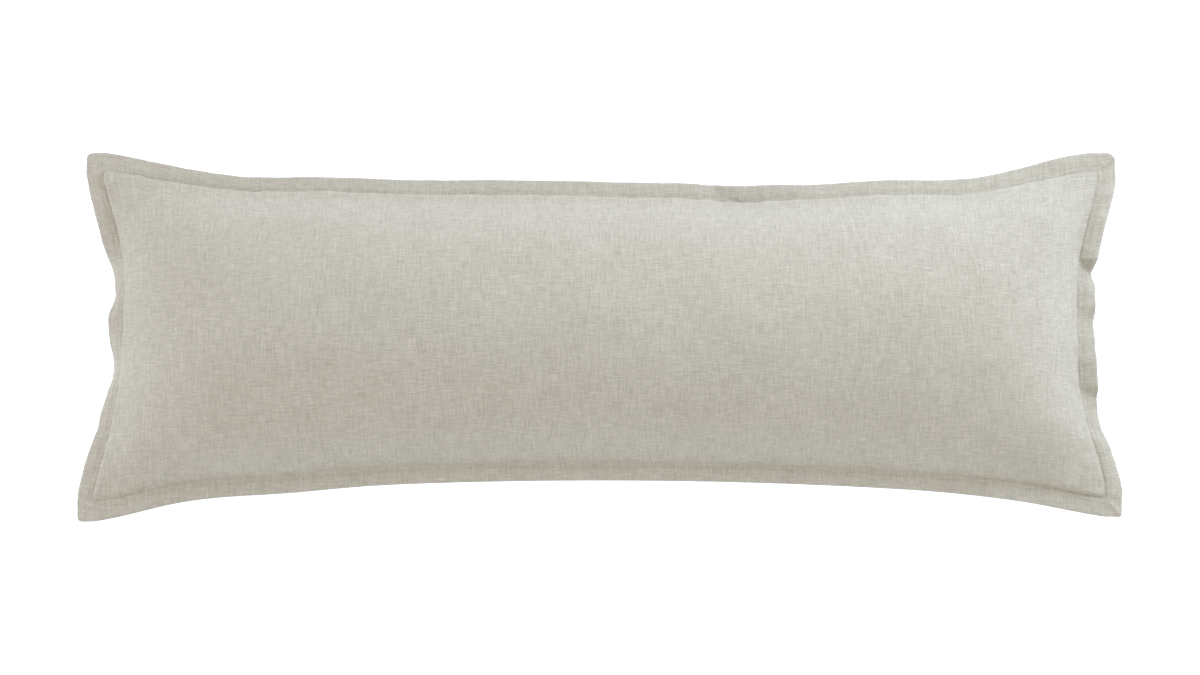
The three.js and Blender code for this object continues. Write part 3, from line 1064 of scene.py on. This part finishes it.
def fine_grid(cover):
    """The finished cover's grid, its lines close together at the folds that they run into."""
    columns = Lines.fine(cover.half_length, cover, folds_on("top", "bottom"))
    rows = Lines.fine(cover.half_width, cover, folds_on("left", "right"))
    return Grid(columns, rows)


def panels_of(piece, grid):
    """The face and the underside of a finished cover, read from its mesh as grids of points again."""
    points = np.zeros(3 * len(piece.data.vertices), dtype=np.float32)
    piece.data.vertices.foreach_get("co", points)
    points = points.reshape(-1, 3).astype(float)
    face, underside = two_sided(len(grid.rows.place), len(grid.columns.place))
    return points[face], points[underside]


def stitched(cover, grid, face, underside, settings):
    """The topstitching of both panels as one mesh: four rows on each, along the lines of the grid that lie
    the slack's width outside the crease."""
    left, right = grid.columns.line_at(-cover.slack), grid.columns.line_at(cover.slack)
    bottom, top = grid.rows.line_at(-cover.slack), grid.rows.line_at(cover.slack)
    sides = (
        (bottom, slice(left, right + 1)),
        (top, slice(left, right + 1)),
        (slice(bottom, top + 1), left),
        (slice(bottom, top + 1), right),
    )
    points, strands, total = [], [], 0
    for panel, facing in ((face, 1), (underside, -1)):
        normals = facing * normals_of(panel)
        for side in sides:
            row_points, row_strands, count = stitch_row(panel[side], normals[side], settings)
            points.append(row_points)
            strands.append(row_strands)
            total += count
    quads = stitch_quads(total)
    mesh = make_mesh("topstitching", np.concatenate(points), quads)
    add_map(mesh, "strand", np.concatenate(strands), quads)
    return mesh


class PILLOW_OT_cover(Operator):
    """Sew the linen cover with its flange, and fill it"""

    bl_idname = "pillow.cover"
    bl_label = "Cover"

    def execute(self, context):
        cover = Cover(context.scene.pillow_cover)
        grid = fine_grid(cover)
        points, face, underside, quads = joined(*finished_cover(cover, grid))
        mesh = make_mesh("pillow_cover", points, quads)
        cloth_map(mesh, grid, face, underside, quads)
        mesh.materials.append(linen_material(context.scene.pillow_linen))
        piece = add_object("pillow_cover", mesh)
        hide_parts("pillow")
        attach(piece, "root")
        return {"FINISHED"}


class PILLOW_OT_topstitching(Operator):
    """Sew the row of thread that shows on both sides of the cover"""

    bl_idname = "pillow.topstitching"
    bl_label = "Topstitching"

    def execute(self, context):
        cover = Cover(context.scene.pillow_cover)
        grid = fine_grid(cover)
        face, underside = panels_of(bpy.data.objects["pillow_cover"], grid)
        settings = context.scene.pillow_stitch
        mesh = stitched(cover, grid, face, underside, settings)
        mesh.materials.append(thread_material(settings))
        piece = add_object("topstitching", mesh)
        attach(piece, "root")
        return {"FINISHED"}


class PILLOW_OT_stage(Operator):
    """Lay the floor and set up the lights and the camera"""

    bl_idname = "pillow.stage"
    bl_label = "Stage"

    def execute(self, context):
        settings = context.scene.pillow_stage
        lay_floor(settings)
        add_light("key", KEY_PLACE, settings.key, KEY_COLOUR)
        add_light("fill", FILL_PLACE, settings.fill, FILL_COLOUR)
        world = bpy.data.worlds.new("surround")
        world.use_nodes = True
        tree = world.node_tree
        set_inputs(tree, tree.nodes["Background"], {"Color": SURROUND_COLOUR, "Strength": settings.surround})
        context.scene.world = world
        context.scene.view_settings.view_transform = "Standard"
        context.scene.camera = add_camera(settings)
        return {"FINISHED"}


def lay_floor(settings):
    """A pale light table: it gives light of its own, so the cloth's sides are lit from below."""
    half = settings.floor_size / 2
    corners = np.array([[-half, -half, 0], [half, -half, 0], [half, half, 0], [-half, half, 0]])
    floor = add_object("floor", make_mesh("floor", corners, np.array([[0, 1, 2, 3]])))
    material, tree, surface = shader("floor")
    looks = {
        "Base Color": FLOOR_COLOUR,
        "Roughness": 0.9,
        "Emission Color": GLOW_COLOUR,
        "Emission Strength": settings.floor_glow,
    }
    set_inputs(tree, surface, looks)
    floor.data.materials.append(material)


def add_light(name, place, power, colour):
    """A large soft light that faces the pillow."""
    light = bpy.data.lights.new(name, "AREA")
    light.energy = power
    light.size = LIGHT_SIZE
    light.color = colour
    lamp = add_object(name, light)
    lamp.location = place
    lamp.rotation_euler = (-lamp.location).to_track_quat("-Z", "Y").to_euler()


def add_camera(settings):
    """The camera, on a line that leans from straight over the pillow towards -Y."""
    view = bpy.data.cameras.new("camera")
    view.lens = settings.lens
    view.sensor_width = 36
    camera = add_object("camera", view)
    camera.location = (
        0,
        AIM_ACROSS - settings.distance * math.sin(settings.tilt),
        CREASE_HEIGHT + settings.distance * math.cos(settings.tilt),
    )
    camera.rotation_euler = (settings.tilt, 0, 0)
    return camera


class PILLOW_PT_panel(Panel):
    """Lists the pillow's sizes and colours, and what can be made"""

    bl_label = "Lumbar pillow"
    bl_idname = "PILLOW_PT_panel"
    bl_space_type = "VIEW_3D"
    bl_region_type = "UI"
    bl_category = "Pillow"

    def draw(self, context):
        scene = context.scene
        for settings in (scene.pillow_cover, scene.pillow_stitch, scene.pillow_linen, scene.pillow_stage):
            box = self.layout.box()
            for name in settings.__annotations__:
                box.prop(settings, name)
        for operator in OPERATORS:
            self.layout.operator(operator.bl_idname)


SETTINGS = {
    "pillow_cover": CoverSettings,
    "pillow_stitch": StitchSettings,
    "pillow_linen": LinenSettings,
    "pillow_stage": StageSettings,
}
OPERATORS = (PILLOW_OT_stage, PILLOW_OT_cover, PILLOW_OT_topstitching)


def register():
    for cls in (*SETTINGS.values(), *OPERATORS, PILLOW_PT_panel):
        bpy.utils.register_class(cls)
    for name, group in SETTINGS.items():
        setattr(bpy.types.Scene, name, PointerProperty(type=group))


def unregister():
    for name in SETTINGS:
        delattr(bpy.types.Scene, name)
    for cls in (PILLOW_PT_panel, *reversed(OPERATORS), *reversed(SETTINGS.values())):
        bpy.utils.unregister_class(cls)


def main():
    register()
    bpy.ops.pillow.stage()
    bpy.ops.pillow.cover()
    bpy.ops.pillow.topstitching()


if __name__ == "__main__":
    main()
